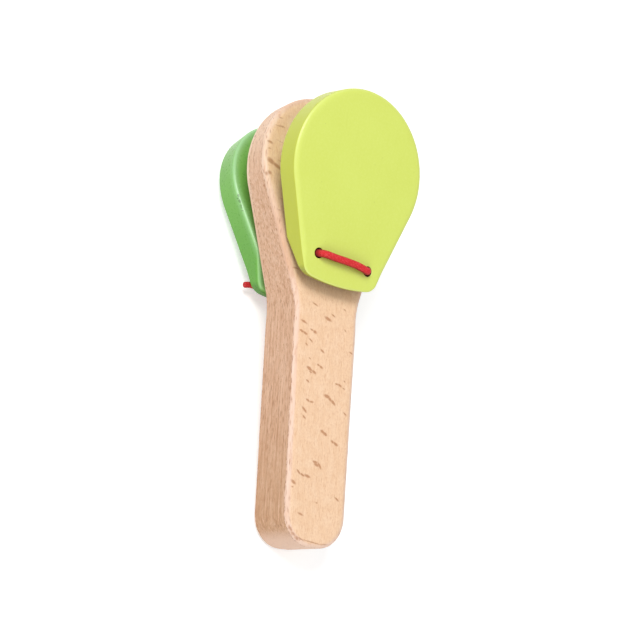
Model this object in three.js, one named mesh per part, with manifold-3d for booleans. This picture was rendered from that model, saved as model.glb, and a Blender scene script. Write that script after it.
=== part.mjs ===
// Wooden hand clapper: a beech handle that widens into a thin paddle, two painted
// clappers that rock on the paddle faces, and one elastic cord that ties them on.
import * as THREE from 'three';
import { mergeVertices } from 'three/addons/utils/BufferGeometryUtils.js';
import Module from 'manifold-3d';

const wasm = await Module();
wasm.setup();

// Driving dimensions in millimetres and degrees

// Handle and paddle
const overallLength = 156.6;
const gripThickness = 17.8;
const gripEndWidth = 24.2;
const gripNeckWidth = 26.8;
const gripEndCorner = 10.6;
const neckRadius = 30;
const neckDistance = 81;
const paddleRadius = 28.3;
const taperStart = 74;
const paddleTipThickness = 7.4;
const handleEaseWidth = 2.1;
const handleEaseDepth = 1;

// Clappers, both alike
const clapperRadius = 27.7;
const clapperThickness = 9.2;
const heelWidth = 30;
const heelToCentre = 40.6;
const heelCrown = 1.6;
const heelCorner = 5;
const heelThickness = 2.6;
const bevelLength = 12.8;
const outerEaseWidth = 1.8;
const outerEaseDepth = 0.9;
const innerEaseWidth = 1.3;
const innerEaseDepth = 1.3;
const hollowDiameter = 34;
const hollowDepth = 2.5;

// How the clappers sit on the paddle at rest
const ridgeDistance = 100;
const rearSlip = 1.2;
const restTilt = 11.6;
const seatGap = 0.3;

// Elastic cord and its holes
const cordDiameter = 2.6;
const knotCordDiameter = 2.2;
const cordSides = 8;
const cordSteps = 190;
const cordSamples = 2000;
const holeSpacing = 21.8;
const holeFromHeel = 8.6;
const frontHoleSkew = 0.6;
const clapperHoleSlack = 0.7;
const neckHoleSlack = 1.2;
const holeRimChamfer = 0.5;
const cordGap = 0.06;

// Fineness of the curves
const headSteps = 44;
const cornerSteps = 6;
const neckSteps = 6;
const edgeSteps = 3;
const holeSteps = 20;
const hollowSteps = 36;
const hollowRings = 5;

// Tolerances and the overrun of the cutters
const tiny = 1e-6;
const weldDistance = 1e-4;
const cutClear = 3;

const clapperHoleDiameter = cordDiameter + clapperHoleSlack;
const neckHoleDiameter = cordDiameter + neckHoleSlack;
const degrees = THREE.MathUtils.degToRad;
const quarterTurn = Math.PI / 2;

const beech = new THREE.MeshStandardMaterial({ color: 0xe8c8a0, roughness: 0.62, metalness: 0 });
const limePaint = new THREE.MeshStandardMaterial({ color: 0xdbe871, roughness: 0.36, metalness: 0 });
const greenPaint = new THREE.MeshStandardMaterial({ color: 0x6fb04e, roughness: 0.34, metalness: 0 });
const redElastic = new THREE.MeshStandardMaterial({ color: 0xe8413f, roughness: 0.85, metalness: 0 });

// Outlines

function arcPoints(centre, radius, from, to, steps) {
  const points = [];
  for (let i = 0; i <= steps; i += 1) {
    const angle = from + ((to - from) * i) / steps;
    points.push(new THREE.Vector2(centre.x + radius * Math.cos(angle), centre.y + radius * Math.sin(angle)));
  }
  return points;
}

// Angle of the line that leaves a point upwards and touches a circle above it on its right side
function tangentAngle(point, centre, radius) {
  const reach = point.clone().sub(centre);
  return Math.atan2(reach.y, reach.x) + Math.acos(radius / reach.length());
}

// Point where the straight lines through two points, square to two directions, meet
function crossing(pointA, normalA, pointB, normalB) {
  const a = normalA.dot(pointA);
  const b = normalB.dot(pointB);
  const det = normalA.x * normalB.y - normalA.y * normalB.x;
  return new THREE.Vector2((a * normalB.y - b * normalA.y) / det, (b * normalA.x - a * normalB.x) / det);
}

// Centre of a corner round that touches a straight side and, below it, the inside of a circle
function cornerBetween(sidePoint, sideNormal, centre, radius, corner) {
  const start = sidePoint.clone().addScaledVector(sideNormal, -corner);
  const upwards = new THREE.Vector2(-sideNormal.y, sideNormal.x);
  const reach = start.clone().sub(centre);
  const middle = -reach.dot(upwards);
  const half = Math.sqrt((radius - corner) ** 2 - reach.lengthSq() + middle ** 2);
  return start.addScaledVector(upwards, middle - half);
}

// Closes a right half, listed from the bottom to the top of the middle line, with its mirror image
function mirrored(rightHalf) {
  const offMiddle = rightHalf.filter((point) => point.x > tiny);
  const left = offMiddle.map((point) => new THREE.Vector2(-point.x, point.y));
  return [...rightHalf, ...left.reverse()];
}

// Adds the two points where an outline crosses a height, so that a face can bend there
function withCrease(outline, height) {
  const points = [];
  outline.forEach((point, i) => {
    const next = outline[(i + 1) % outline.length];
    points.push(point);
    if ((point.y - height) * (next.y - height) < 0) {
      const share = (height - point.y) / (next.y - point.y);
      points.push(new THREE.Vector2(point.x + (next.x - point.x) * share, height));
    }
  });
  return points;
}

// Paddle side: a tangent from the neck point to the paddle's round head
const paddleCentre = new THREE.Vector2(0, overallLength - paddleRadius);
const neckPoint = new THREE.Vector2(gripNeckWidth / 2, neckDistance);
const paddleSide = tangentAngle(neckPoint, paddleCentre, paddleRadius);

function handleOutline() {
  const endPoint = new THREE.Vector2(gripEndWidth / 2, 0);
  const gripSide = neckPoint.clone().sub(endPoint);
  const gripNormal = new THREE.Vector2(gripSide.y, -gripSide.x).normalize();
  const sideNormal = new THREE.Vector2(Math.cos(paddleSide), Math.sin(paddleSide));
  const down = new THREE.Vector2(0, -1);
  const cornerCentre = crossing(
    endPoint.clone().addScaledVector(gripNormal, -gripEndCorner),
    gripNormal,
    endPoint.clone().addScaledVector(down, -gripEndCorner),
    down,
  );
  const neckCentre = crossing(
    neckPoint.clone().addScaledVector(gripNormal, neckRadius),
    gripNormal,
    neckPoint.clone().addScaledVector(sideNormal, neckRadius),
    sideNormal,
  );
  const gripAngle = Math.atan2(gripNormal.y, gripNormal.x);
  const rightHalf = [
    new THREE.Vector2(0, 0),
    ...arcPoints(cornerCentre, gripEndCorner, -quarterTurn, gripAngle, cornerSteps),
    ...arcPoints(neckCentre, neckRadius, gripAngle + Math.PI, paddleSide + Math.PI, neckSteps),
    ...arcPoints(paddleCentre, paddleRadius, paddleSide, quarterTurn, headSteps / 2),
  ];
  return mirrored(rightHalf);
}

const headCentre = new THREE.Vector2(0, heelToCentre);

function clapperOutline() {
  const heelPoint = new THREE.Vector2(heelWidth / 2, heelCrown);
  const side = tangentAngle(heelPoint, headCentre, clapperRadius);
  const sideNormal = new THREE.Vector2(Math.cos(side), Math.sin(side));
  const crownRadius = (heelPoint.x ** 2 + heelCrown ** 2) / (2 * heelCrown);
  const crownCentre = new THREE.Vector2(0, crownRadius);
  const cornerCentre = cornerBetween(heelPoint, sideNormal, crownCentre, crownRadius, heelCorner);
  const turn = cornerCentre.clone().sub(crownCentre);
  const cornerStart = Math.atan2(turn.y, turn.x);
  const rightHalf = [
    ...arcPoints(crownCentre, crownRadius, -quarterTurn, cornerStart, cornerSteps),
    ...arcPoints(cornerCentre, heelCorner, cornerStart, side, cornerSteps).slice(1),
    ...arcPoints(headCentre, clapperRadius, side, quarterTurn, headSteps / 2),
  ];
  return mirrored(rightHalf);
}

// Plates with eased edges

// For each outline point, the vector that carries it inwards by one unit of inset
function insetVectors(outline, creases) {
  return outline.map((point, i) => {
    const before = outline[(i + outline.length - 1) % outline.length];
    const after = outline[(i + 1) % outline.length];
    const first = new THREE.Vector2(point.y - before.y, before.x - point.x).normalize();
    const second = new THREE.Vector2(after.y - point.y, point.x - after.x).normalize();
    const middle = first.clone().add(second).divideScalar(1 + first.dot(second));
    const onCrease = creases.some((height) => Math.abs(point.y - height) < tiny);
    return onCrease ? new THREE.Vector2(-1 / middle.x, 0) : middle.negate();
  });
}

// Splits a ring of indices at a crease, and fills each part with triangles
function fillRing(points, first, crease, upwards) {
  const indices = points.map((_, i) => i);
  const ends = indices.filter((i) => crease !== null && Math.abs(points[i].y - crease) < tiny);
  const parts = ends.length === 2
    ? [indices.slice(ends[0], ends[1] + 1), [...indices.slice(ends[1]), ...indices.slice(0, ends[0] + 1)]]
    : [indices];
  const triangles = [];
  parts.forEach((part) => {
    THREE.ShapeUtils.triangulateShape(part.map((i) => points[i]), []).forEach(([a, b, c]) => {
      const corners = [part[a], part[b], part[c]].map((i) => i + first);
      triangles.push(...(upwards ? corners : corners.reverse()));
    });
  });
  return triangles;
}

// A plate between a bottom and a top height, each a function of y that may bend at one crease.
// Its edges are quarter ellipses, as wide on the face and as deep on the wall as each ease says.
function easedPlate({ outline, bottom, top, bottomEase, topEase, bottomCrease, topCrease }) {
  const creases = [bottomCrease, topCrease].filter((height) => height !== null);
  const insets = insetVectors(outline, creases);
  const wallShare = 0.92;
  const rings = [];
  for (let side = -1; side <= 1; side += 2) {
    for (let i = 0; i <= edgeSteps; i += 1) {
      const angle = side < 0 ? -quarterTurn + (quarterTurn * i) / edgeSteps : (quarterTurn * i) / edgeSteps;
      const ring = outline.map((point, k) => {
        const wall = top(point.y) - bottom(point.y);
        const fit = Math.min(1, (wallShare * wall) / (bottomEase.depth + topEase.depth));
        const ease = side < 0 ? bottomEase : topEase;
        const flat = point.clone().addScaledVector(insets[k], fit * ease.width * (1 - Math.cos(angle)));
        const face = side < 0 ? bottom(flat.y) : top(flat.y);
        return new THREE.Vector3(flat.x, flat.y, face + fit * ease.depth * (Math.sin(angle) - side));
      });
      rings.push(ring);
    }
  }
  const count = outline.length;
  const triangles = fillRing(rings[0], 0, bottomCrease, false);
  for (let r = 0; r + 1 < rings.length; r += 1) {
    for (let k = 0; k < count; k += 1) {
      const a = r * count + k;
      const b = r * count + ((k + 1) % count);
      triangles.push(a, b, b + count, a, b + count, a + count);
    }
  }
  const last = rings.length - 1;
  triangles.push(...fillRing(rings[last], last * count, topCrease, true));
  const geometry = new THREE.BufferGeometry().setFromPoints(rings.flat());
  geometry.setIndex(triangles);
  return geometry;
}

// Cuts

function toSolid(geometry) {
  const bare = geometry.clone();
  bare.deleteAttribute('normal');
  bare.deleteAttribute('uv');
  const merged = mergeVertices(bare, weldDistance);
  const vertProperties = new Float32Array(merged.attributes.position.array);
  const triVerts = new Uint32Array(merged.index.array);
  return new wasm.Manifold(new wasm.Mesh({ numProp: 3, vertProperties, triVerts }));
}

function toGeometry(solid) {
  const mesh = solid.getMesh();
  const geometry = new THREE.BufferGeometry();
  geometry.setAttribute('position', new THREE.BufferAttribute(new Float32Array(mesh.vertProperties), 3));
  geometry.setIndex(new THREE.BufferAttribute(new Uint32Array(mesh.triVerts), 1));
  geometry.computeVertexNormals();
  return geometry;
}

// A cutter revolved about the Z axis from radius and height pairs, placed at x, y
function revolvedCut(profile, x, y, steps) {
  const points = profile.map(([radius, height]) => new THREE.Vector2(radius, height));
  const geometry = new THREE.LatheGeometry(points, steps);
  geometry.rotateX(quarterTurn);
  geometry.translate(x, y, 0);
  return toSolid(geometry);
}

// A straight cord hole that runs past both heights, with a chamfered rim at each rim height
function holeProfile(diameter, low, high, rims) {
  const radius = diameter / 2;
  const rimRadius = radius + holeRimChamfer + cutClear;
  const profile = [[0, low - cutClear]];
  profile.push([rims.low ? rimRadius : radius, low - cutClear]);
  if (rims.low) profile.push([radius, low + holeRimChamfer]);
  if (rims.high) profile.push([radius, high - holeRimChamfer]);
  profile.push([rims.high ? rimRadius : radius, high + cutClear]);
  profile.push([0, high + cutClear]);
  return profile;
}

// Handle

const paddleSlope = Math.atan((gripThickness - paddleTipThickness) / 2 / (overallLength - taperStart));

function paddleFace(y) {
  return gripThickness / 2 - Math.max(0, y - taperStart) * Math.tan(paddleSlope);
}

const holeSides = [-holeSpacing / 2, holeSpacing / 2];

// The rear clapper has slipped a little towards the grip, as far as its cord lets it
const rearRidgeDistance = ridgeDistance - rearSlip;

function ridgeHeight(distance) {
  return paddleFace(distance) + seatGap / Math.cos(paddleSlope);
}

// The neck's holes lie midway between the hole lines of the two clappers
const holeDistance = (ridgeDistance + rearRidgeDistance) / 2
  - (bevelLength - holeFromHeel) * Math.cos(degrees(restTilt))
  - (heelThickness / 2) * Math.sin(degrees(restTilt));

function handleGeometry() {
  const ease = { width: handleEaseWidth, depth: handleEaseDepth };
  const plate = easedPlate({
    outline: withCrease(handleOutline(), taperStart),
    bottom: (y) => -paddleFace(y),
    top: paddleFace,
    bottomEase: ease,
    topEase: ease,
    bottomCrease: taperStart,
    topCrease: taperStart,
  });
  const face = paddleFace(holeDistance);
  const profile = holeProfile(neckHoleDiameter, -face, face, { low: true, high: true });
  const holes = holeSides.map((x) => revolvedCut(profile, x, holeDistance, holeSteps));
  return toGeometry(holes.reduce((solid, hole) => solid.subtract(hole), toSolid(plate)));
}

// Clappers: y runs from the heel edge to the tip and z from the inner face to the outer face

const bevelSlope = (clapperThickness - heelThickness) / bevelLength;

function innerFace(y) {
  return Math.max(0, bevelLength - y) * bevelSlope;
}

function hollowProfile() {
  const radius = hollowDiameter / 2;
  const sphere = (radius ** 2 + hollowDepth ** 2) / (2 * hollowDepth);
  const opening = Math.asin(radius / sphere);
  const profile = [[0, -cutClear], [radius, -cutClear]];
  for (let i = 0; i <= hollowRings; i += 1) {
    const angle = opening * (1 - i / hollowRings);
    profile.push([sphere * Math.sin(angle), hollowDepth - sphere * (1 - Math.cos(angle))]);
  }
  return profile;
}

// How far from the heel edge a cord hole lies; the front clapper's two holes were drilled a little askew
function holeHeight(x, skew) {
  return holeFromHeel - Math.sign(x) * skew;
}

function clapperGeometry(skew) {
  const plate = easedPlate({
    outline: withCrease(clapperOutline(), bevelLength),
    bottom: innerFace,
    top: () => clapperThickness,
    bottomEase: { width: innerEaseWidth, depth: innerEaseDepth },
    topEase: { width: outerEaseWidth, depth: outerEaseDepth },
    bottomCrease: bevelLength,
    topCrease: null,
  });
  const low = innerFace(holeFromHeel + skew + clapperHoleDiameter);
  const profile = holeProfile(clapperHoleDiameter, low, clapperThickness, { low: false, high: true });
  const holes = holeSides.map((x) => revolvedCut(profile, x, holeHeight(x, skew), holeSteps));
  const hollow = revolvedCut(hollowProfile(), headCentre.x, headCentre.y, hollowSteps);
  return toGeometry([...holes, hollow].reduce((solid, cut) => solid.subtract(cut), toSolid(plate)));
}

// Each clapper hangs in a group that stands on its rocking ridge, the line where bevel and inner face meet
function clapperOnRidge({ name, material, skew, tilt, turn, distance, height }) {
  const pivot = new THREE.Group();
  pivot.name = `${name}_pivot`;
  pivot.position.set(0, distance, height);
  pivot.rotation.set(tilt, turn, 0);
  const clapper = new THREE.Mesh(clapperGeometry(skew), material);
  clapper.name = name;
  clapper.position.set(0, -bevelLength, 0);
  pivot.add(clapper);
  pivot.updateMatrixWorld(true);
  return pivot;
}

// Elastic cord: one length from tail to tail, tied behind the rear clapper with a reef knot. It is full
// across the front and pulled thinner towards the knot.

const knotCordRadius = knotCordDiameter / 2;
const holeX = holeSpacing / 2;
const stitchLayer = clapperThickness + cordGap + cordDiameter / 2;
const lowLayer = clapperThickness + cordGap + knotCordRadius;
const highLayer = lowLayer + knotCordDiameter + cordGap / 2;
const midLayer = (lowLayer + highLayer) / 2;
const knotCentre = 4.4;

// One half of the knot, as a bight, from the standing part to the tail: across and along in cord radii
// and layer. The other half is this one turned end for end, which swaps the layers.
const bight = [
  [-5.6, 1.25, -1],
  [-3.6, 1.2, -1],
  [-1.7, 1.7, -0.25],
  [0, 2.7, 1],
  [1.9, 3.75, 0.25],
  [3.3, 2.9, -1],
  [3.75, 1.2, -1],
  [3.75, -1.2, -1],
  [3.3, -2.9, -1],
  [1.9, -3.75, 0.25],
  [0, -2.7, 1],
  [-1.7, -1.7, -0.25],
  [-3.6, -1.2, -1],
  [-5.6, -1.25, -1],
];

// The tails, continued from the knot: across, distance from the heel edge and lift over the low layer
const leftTail = [[-9.3, 4.3, 0.1], [-12.6, 4.8, 0.1], [-15, 4.9, 0.25], [-17.2, 4.5, 0.5]];
const rightTail = [[9.2, 2.9, 0.5], [12.4, 2.6, 0.2], [15, 2.7, 0.1]];

function knotHalf(side) {
  return bight.map(([across, along, layer]) => new THREE.Vector3(
    side * -across * knotCordRadius,
    knotCentre + along * knotCordRadius,
    midLayer + (side < 0 ? 1 : -1) * layer * (highLayer - midLayer),
  ));
}

// The bends from an outer face into its hole: step towards the middle, drop below the cord's layer
const frontBend = [[2.2, 0], [0.9, 0.5], [0.2, 1.5], [0, 3.5]];
const rearBend = [[3.1, 0], [1.1, 0.15], [0.15, 1.35], [0, 3.5]];
const bevelExit = 1.2;

// The stitch between the front clapper's holes bows: across, step aside and lift over its layer
const stitch = [[-5, 0.1, 0.15], [0, 0.25, 0.25], [5, 0.25, 0.2]];

// Points from the outer face of a clapper, beside a hole, down to its bevel
function throughClapper(x, skew, bend, layer) {
  const y = holeHeight(x, skew);
  const points = bend.map(([step, drop]) => new THREE.Vector3(x - Math.sign(x) * step, y, layer - drop));
  points.push(new THREE.Vector3(x, y, innerFace(y) + bevelExit));
  return points;
}

function cordRoute(front, rear) {
  // The rear clapper is turned about, so its own left is the right side of the toy
  const toFront = (point) => front.localToWorld(point.clone());
  const toRear = (point) => rear.localToWorld(new THREE.Vector3(-point.x, point.y, point.z));
  const inFront = (x) => throughClapper(x, frontHoleSkew, frontBend, stitchLayer).map(toFront);
  const inRear = (x) => throughClapper(x, 0, rearBend, lowLayer).map(toRear);
  const inHandle = (x) => [1, 0, -1].map((side) => (
    new THREE.Vector3(x, holeDistance + (side * rearSlip) / 4, side * paddleFace(holeDistance))
  ));
  const tailPoints = (tail) => tail.map(([across, along, lift]) => (
    toRear(new THREE.Vector3(across, along, lowLayer + lift))
  ));
  const stitchPoints = stitch.map(([across, aside, lift]) => {
    const holeLine = holeFromHeel - (across / holeX) * frontHoleSkew;
    return toFront(new THREE.Vector3(across, holeLine + aside, stitchLayer + lift));
  });
  return new THREE.CatmullRomCurve3([
    ...tailPoints(leftTail).reverse(),
    ...knotHalf(-1).reverse().map(toRear),
    ...inRear(-holeX),
    ...inHandle(-holeX).reverse(),
    ...inFront(-holeX).reverse(),
    ...stitchPoints,
    ...inFront(holeX),
    ...inHandle(holeX),
    ...inRear(holeX).reverse(),
    ...knotHalf(1).map(toRear),
    ...tailPoints(rightTail),
  ]);
}

// The cord's radius goes from the stitch's to the knot's on its way through the neck
function cordRadiusAt(point) {
  const face = paddleFace(holeDistance);
  const share = THREE.MathUtils.smoothstep(point.z, -face, face);
  return THREE.MathUtils.lerp(knotCordDiameter, cordDiameter, share) / 2;
}

function cordGeometry(front, rear) {
  const route = cordRoute(front, rear);
  route.arcLengthDivisions = cordSamples;
  const { normals, binormals } = route.computeFrenetFrames(cordSteps);
  const points = [];
  const triangles = [];
  for (let i = 0; i <= cordSteps; i += 1) {
    const centre = route.getPointAt(i / cordSteps);
    const radius = cordRadiusAt(centre);
    for (let k = 0; k < cordSides; k += 1) {
      const angle = (2 * Math.PI * k) / cordSides;
      const point = centre.clone().addScaledVector(normals[i], radius * Math.cos(angle));
      points.push(point.addScaledVector(binormals[i], radius * Math.sin(angle)));
      const a = i * cordSides + k;
      const b = i * cordSides + ((k + 1) % cordSides);
      if (i < cordSteps) triangles.push(a, b, b + cordSides, a, b + cordSides, a + cordSides);
    }
  }
  const last = cordSteps * cordSides;
  for (let k = 1; k + 1 < cordSides; k += 1) {
    triangles.push(0, k + 1, k, last, last + k, last + k + 1);
  }
  const geometry = new THREE.BufferGeometry().setFromPoints(points);
  geometry.setIndex(triangles);
  geometry.computeVertexNormals();
  return geometry;
}

// Assembly

const handle = new THREE.Mesh(handleGeometry(), beech);
handle.name = 'handle';
const front = clapperOnRidge({
  name: 'front_clapper',
  material: limePaint,
  skew: frontHoleSkew,
  tilt: degrees(restTilt),
  turn: 0,
  distance: ridgeDistance,
  height: ridgeHeight(ridgeDistance),
});
const rear = clapperOnRidge({
  name: 'rear_clapper',
  material: greenPaint,
  skew: 0,
  tilt: -degrees(restTilt),
  turn: Math.PI,
  distance: rearRidgeDistance,
  height: -ridgeHeight(rearRidgeDistance),
});
const cord = new THREE.Mesh(cordGeometry(front.children[0], rear.children[0]), redElastic);
cord.name = 'elastic_cord';

const toy = new THREE.Group();
toy.name = 'hand_clapper';
toy.add(handle, front, rear, cord);

// The toy lies on its handle end and on the tip of the rear clapper
const steepestLie = 30;
const lieHalvings = 40;

function lowestPoint(object) {
  return new THREE.Box3().setFromObject(object, true).min.z;
}

function layDown() {
  let flat = 0;
  let steep = degrees(steepestLie);
  for (let i = 0; i < lieHalvings; i += 1) {
    toy.rotation.x = (flat + steep) / 2;
    toy.updateMatrixWorld(true);
    if (lowestPoint(handle) > lowestPoint(rear)) flat = toy.rotation.x;
    else steep = toy.rotation.x;
  }
  const box = new THREE.Box3().setFromObject(toy, true);
  const middle = box.getCenter(new THREE.Vector3());
  toy.position.set(-middle.x, -middle.y, -box.min.z);
  toy.updateMatrixWorld(true);
}

layDown();

export default toy;
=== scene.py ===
import math

import bpy
import numpy as np
from mathutils import Matrix, Vector


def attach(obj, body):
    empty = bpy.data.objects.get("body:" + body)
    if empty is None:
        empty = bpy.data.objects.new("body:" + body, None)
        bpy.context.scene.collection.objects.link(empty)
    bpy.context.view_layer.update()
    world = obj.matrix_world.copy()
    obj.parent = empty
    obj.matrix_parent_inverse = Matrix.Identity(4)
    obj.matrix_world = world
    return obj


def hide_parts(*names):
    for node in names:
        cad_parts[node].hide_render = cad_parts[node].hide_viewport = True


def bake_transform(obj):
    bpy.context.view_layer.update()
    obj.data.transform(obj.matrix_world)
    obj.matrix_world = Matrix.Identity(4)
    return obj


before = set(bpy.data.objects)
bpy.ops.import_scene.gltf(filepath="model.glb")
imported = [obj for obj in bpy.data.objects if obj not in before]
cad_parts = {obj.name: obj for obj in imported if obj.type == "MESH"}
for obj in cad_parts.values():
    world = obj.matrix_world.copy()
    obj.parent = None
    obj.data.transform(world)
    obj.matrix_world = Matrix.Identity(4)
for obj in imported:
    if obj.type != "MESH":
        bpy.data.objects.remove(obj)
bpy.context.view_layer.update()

scene = bpy.context.scene
scene.view_settings.view_transform = "Standard"

# Sizes in millimetres, as in the part's source
LENGTH = 156.6
GRIP_THICK = 17.8
GRIP_END = 24.2
GRIP_NECK = 26.8
END_CORNER = 10.6
NECK_RADIUS = 30.0
NECK_AT = 81.0
PADDLE_RADIUS = 28.3
TAPER_AT = 74.0
TIP_THICK = 7.4
HANDLE_EASE = (2.1, 1.0)
CLAP_RADIUS = 27.7
CLAP_THICK = 9.2
HEEL_WIDTH = 30.0
HEEL_TO_CENTRE = 40.6
HEEL_CROWN = 1.6
HEEL_CORNER = 5.0
HEEL_THICK = 2.6
BEVEL = 12.8
OUTER_EASE = (1.8, 0.9)
INNER_EASE = (1.3, 1.3)
HOLLOW_WIDTH = 34.0
HOLLOW_DEPTH = 2.5
RIDGE_AT = 100.0
REAR_SLIP = 1.2
TILT = math.radians(11.6)
SEAT_GAP = 0.3
STITCH_RADIUS = 1.3
KNOT_RADIUS = 1.1
HOLE_X = 10.9
HOLE_FROM_HEEL = 8.6
FRONT_SKEW = 0.6
CLAP_HOLE = 3.3
NECK_HOLE = 3.8
CORD_GAP = 0.06
KNOT_AT = 4.4
LIE = math.radians(7.169973103655139)
LIE_AT = (0.0, -77.36320193, 8.56829595)

SLOPE = math.atan((GRIP_THICK - TIP_THICK) / 2 / (LENGTH - TAPER_AT))


def paddle_face(y):
    return GRIP_THICK / 2 - np.maximum(0.0, y - TAPER_AT) * math.tan(SLOPE)


def inner_face(y):
    return np.maximum(0.0, BEVEL - y) * (CLAP_THICK - HEEL_THICK) / BEVEL


def hole_height(x, skew):
    return HOLE_FROM_HEEL - math.copysign(skew, x)


def ridge_height(y):
    return float(paddle_face(y)) + SEAT_GAP / math.cos(SLOPE)


REAR_RIDGE = RIDGE_AT - REAR_SLIP
HOLE_AT = (
    (RIDGE_AT + REAR_RIDGE) / 2
    - (BEVEL - HOLE_FROM_HEEL) * math.cos(TILT)
    - HEEL_THICK / 2 * math.sin(TILT)
)

TOY = Matrix.Translation(LIE_AT) @ Matrix.Rotation(LIE, 4, "X")
FRONT = (
    TOY
    @ Matrix.Translation((0, RIDGE_AT, ridge_height(RIDGE_AT)))
    @ Matrix.Rotation(TILT, 4, "X")
    @ Matrix.Translation((0, -BEVEL, 0))
)
REAR = (
    TOY
    @ Matrix.Translation((0, REAR_RIDGE, -ridge_height(REAR_RIDGE)))
    @ Matrix.Rotation(-TILT, 4, "X")
    @ Matrix.Rotation(math.pi, 4, "Y")
    @ Matrix.Translation((0, -BEVEL, 0))
)


# Camera at the photograph's place, fitted to the toy's outlines
camera_data = bpy.data.cameras.new("camera")
camera_data.sensor_width = 36.0
camera_data.lens = 68.928205
camera_data.shift_x = 0.0116273
camera_data.shift_y = -0.0364286
camera_data.clip_start = 0.01
camera_data.clip_end = 50.0
camera = bpy.data.objects.new("camera", camera_data)
camera.matrix_world = Matrix(
    (
        (0.7728378, -0.2177021, -0.5960936, -0.2503234),
        (-0.0213773, 0.9298523, -0.3673114, -0.1472766),
        (0.6342435, 0.2966150, 0.7139711, 0.3190023),
        (0, 0, 0, 1),
    )
)
scene.collection.objects.link(camera)
scene.camera = camera


# Shape helpers; numbers that differ by less than this are the same
CLOSE = 1e-6


def arc(centre, radius, start, end, steps):
    angle = np.linspace(start, end, steps + 1)
    return np.c_[centre[0] + radius * np.cos(angle), centre[1] + radius * np.sin(angle)]


def tangent_angle(point, centre, radius):
    reach = np.subtract(point, centre)
    return math.atan2(reach[1], reach[0]) + math.acos(radius / math.hypot(*reach))


def crossing(point_a, normal_a, point_b, normal_b):
    return np.linalg.solve(
        np.array([normal_a, normal_b]),
        np.array([np.dot(normal_a, point_a), np.dot(normal_b, point_b)]),
    )


def corner_between(side_point, side_normal, centre, radius, corner):
    """Centre of a round that touches a straight side and, below it, the inside of a circle."""
    start = side_point - side_normal * corner
    upwards = np.array([-side_normal[1], side_normal[0]])
    reach = start - centre
    middle = -reach.dot(upwards)
    half = math.sqrt((radius - corner) ** 2 - reach.dot(reach) + middle**2)
    return start + upwards * (middle - half)


def mirrored(right):
    left = right[right[:, 0] > CLOSE] * (-1, 1)
    return np.r_[right, left[::-1]]


def subdivided(outline, longest):
    """Splits long straight runs, so that edge rounding can vary along them."""
    points = []
    for a, b in zip(outline, np.roll(outline, -1, axis=0)):
        parts = max(1, math.ceil(np.hypot(*(b - a)) / longest))
        points += [a + (b - a) * i / parts for i in range(parts)]
    return np.array(points)


def with_crease(outline, height):
    points = []
    for a, b in zip(outline, np.roll(outline, -1, axis=0)):
        points.append(a)
        if (a[1] - height) * (b[1] - height) < 0:
            share = (height - a[1]) / (b[1] - a[1])
            points.append([a[0] + (b[0] - a[0]) * share, height])
    return np.array(points)


def handle_outline():
    centre = np.array([0, LENGTH - PADDLE_RADIUS])
    neck = np.array([GRIP_NECK / 2, NECK_AT])
    side = tangent_angle(neck, centre, PADDLE_RADIUS)
    end = np.array([GRIP_END / 2, 0])
    run = neck - end
    grip_normal = np.array([run[1], -run[0]]) / np.hypot(*run)
    side_normal = np.array([math.cos(side), math.sin(side)])
    down = np.array([0, -1])
    corner = crossing(
        end - grip_normal * END_CORNER, grip_normal, end - down * END_CORNER, down
    )
    bend = crossing(
        neck + grip_normal * NECK_RADIUS, grip_normal, neck + side_normal * NECK_RADIUS, side_normal
    )
    grip_angle = math.atan2(grip_normal[1], grip_normal[0])
    right = np.r_[
        [[0, 0]],
        arc(corner, END_CORNER, -math.pi / 2, grip_angle, steps=24),
        arc(bend, NECK_RADIUS, grip_angle + math.pi, side + math.pi, steps=16),
        arc(centre, PADDLE_RADIUS, side, math.pi / 2, steps=70),
    ]
    return mirrored(right)


def clapper_outline():
    centre = np.array([0, HEEL_TO_CENTRE])
    heel = np.array([HEEL_WIDTH / 2, HEEL_CROWN])
    side = tangent_angle(heel, centre, CLAP_RADIUS)
    side_normal = np.array([math.cos(side), math.sin(side)])
    crown_radius = (heel[0] ** 2 + HEEL_CROWN**2) / (2 * HEEL_CROWN)
    crown_centre = np.array([0, crown_radius])
    corner = corner_between(heel, side_normal, crown_centre, crown_radius, HEEL_CORNER)
    turn = corner - crown_centre
    start = math.atan2(turn[1], turn[0])
    right = np.r_[
        arc(crown_centre, crown_radius, -math.pi / 2, start, steps=14),
        arc(corner, HEEL_CORNER, start, side, steps=14)[1:],
        arc(centre, CLAP_RADIUS, side, math.pi / 2, steps=70),
    ]
    return mirrored(right)


# The angle at which a clapper's straight flank faces outwards
FLANK = tangent_angle((HEEL_WIDTH / 2, HEEL_CROWN), (0, HEEL_TO_CENTRE), CLAP_RADIUS)

# Finish of the edges: a hair inside the solid's facets, sanded by hand, and crisper at the heel
HAIR = 0.03
OUTLINE_STEP = 1.2
EASE_STEPS = 10
MOST_OF_WALL = 0.92
LEAST_SANDING = 1.09
SANDING_WAVES = (2, 3, 5, 8, 13, 21, 34)
HANDLE_SANDING = 0.12
CLAPPER_SANDING = 0.05
HEEL_CRISPNESS = 0.55
CRISP_BELOW = 9.0
CRISP_RUN = 5.0

# Holes and hollows: soft rims, facets, and how far a cutter goes beyond the piece
NECK_RIM = 0.5
CLAPPER_RIM = 0.4
RIM_STEPS = 6
HOLE_SIDES = 40
BOWL_STEPS = 12
BOWL_SIDES = 96
CUT_BEYOND = 3.0

# Edges sharper than these keep a crease
WOOD_CREASE = math.radians(24)
CORD_CREASE = math.radians(50)


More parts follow.
